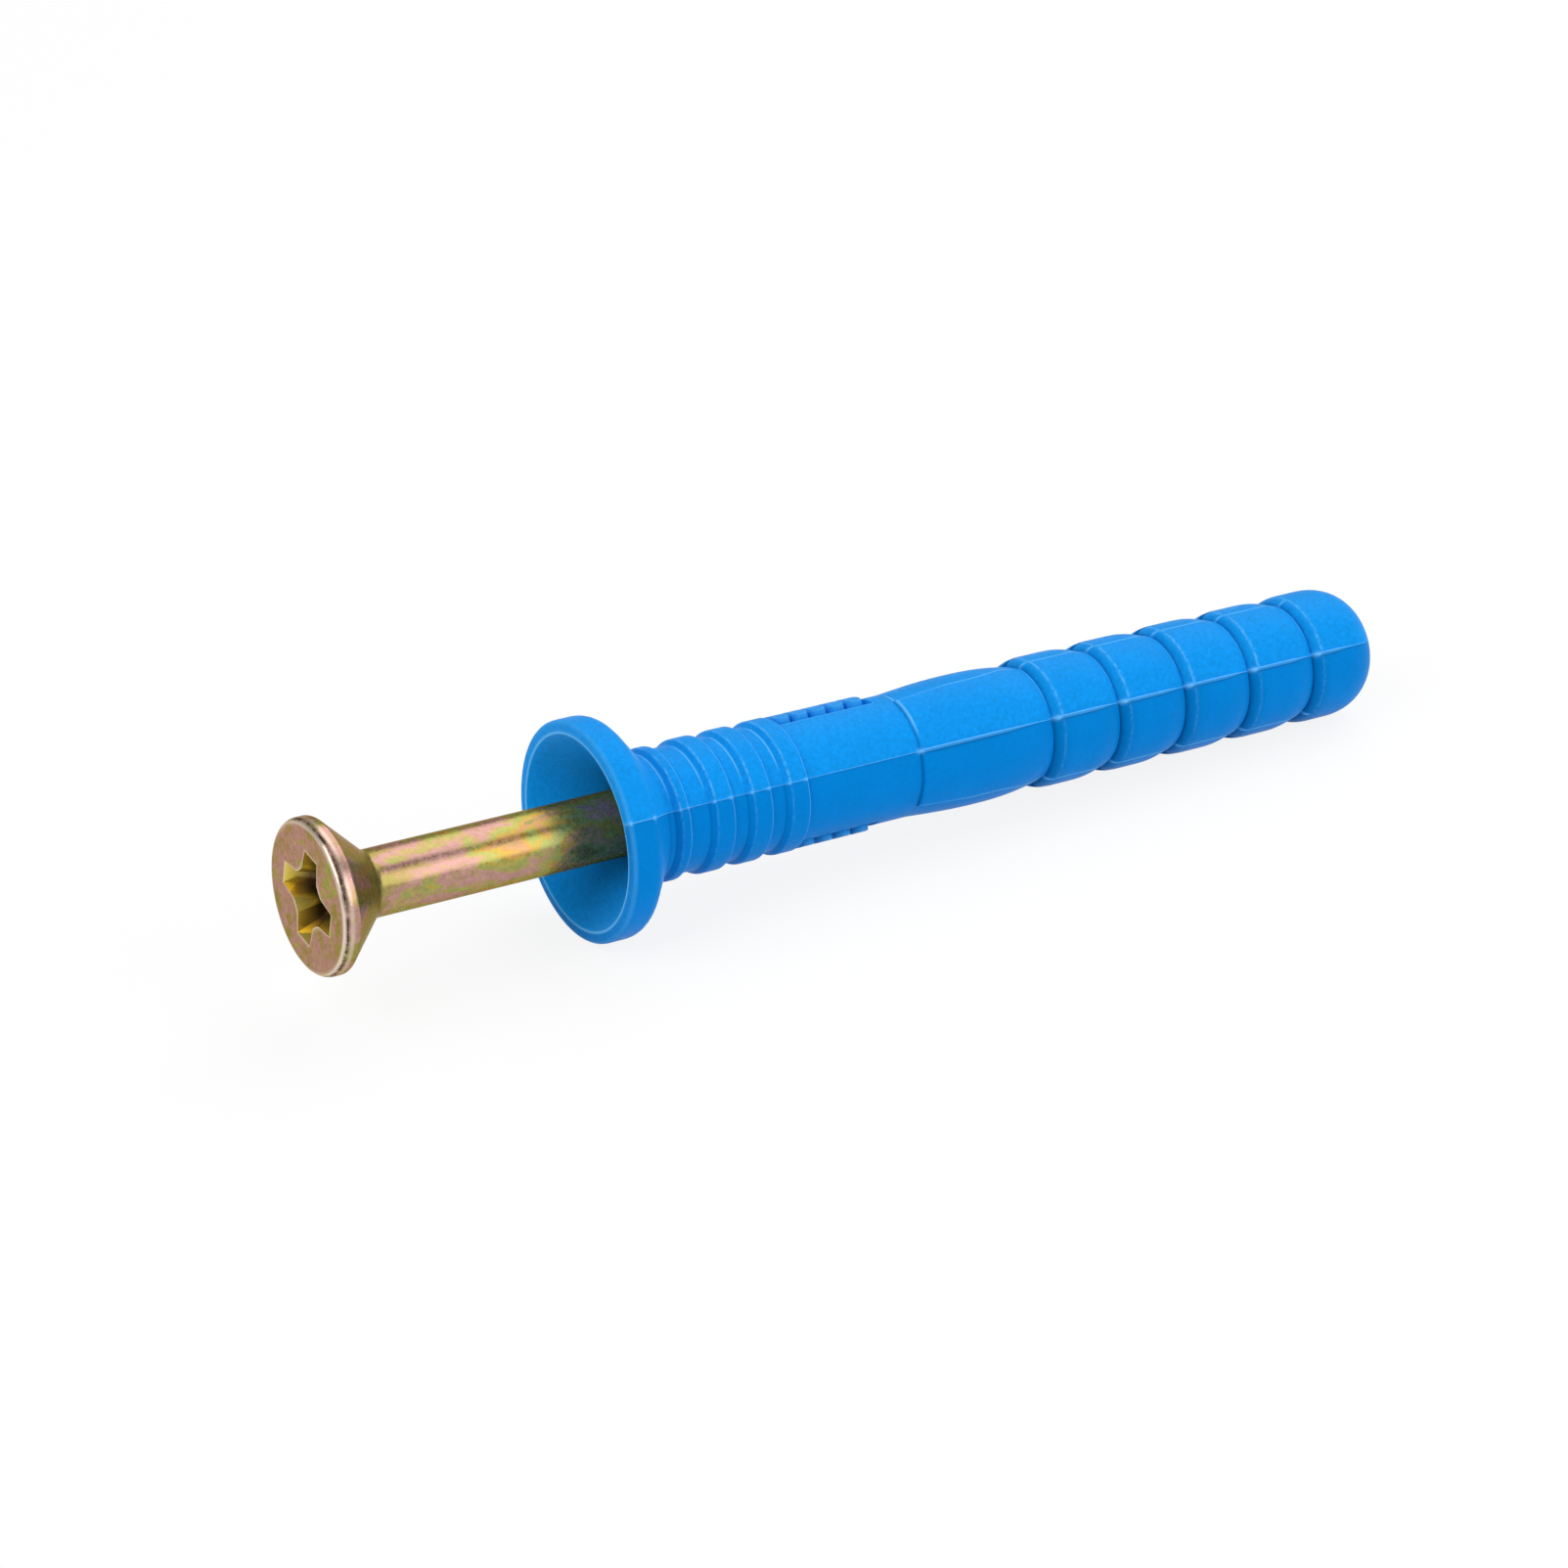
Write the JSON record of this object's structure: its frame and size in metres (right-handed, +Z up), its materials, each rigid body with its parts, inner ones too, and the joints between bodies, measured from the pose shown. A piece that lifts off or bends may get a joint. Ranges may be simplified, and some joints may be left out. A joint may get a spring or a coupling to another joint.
{
  "type": "wall plug with screw",
  "caption": "Ribbed nylon wall plug with a countersunk collar and a barbed, split end, and its cross-recessed nail screw pushed part of the way in.",
  "frame": {"origin": "middle of the underside of the box around both pieces, on the ground that the collar rim and the last barb lie on", "axes": "+X from the screw's head to the plug's nose, along the ground; the pieces' own axis dips 2.9 degrees below +X. +Z is up."},
  "size_m": [0.0792, 0.0142, 0.0142],
  "materials": {
    "plug_sleeve": "moulded blue nylon, satin",
    "nail_screw": "zinc plated and yellow passivated, iridescent"
  },
  "bodies": {
    "root": {"plug_sleeve": "plug_sleeve", "nail_screw": "nail_screw"}
  },
  "joints": []
}
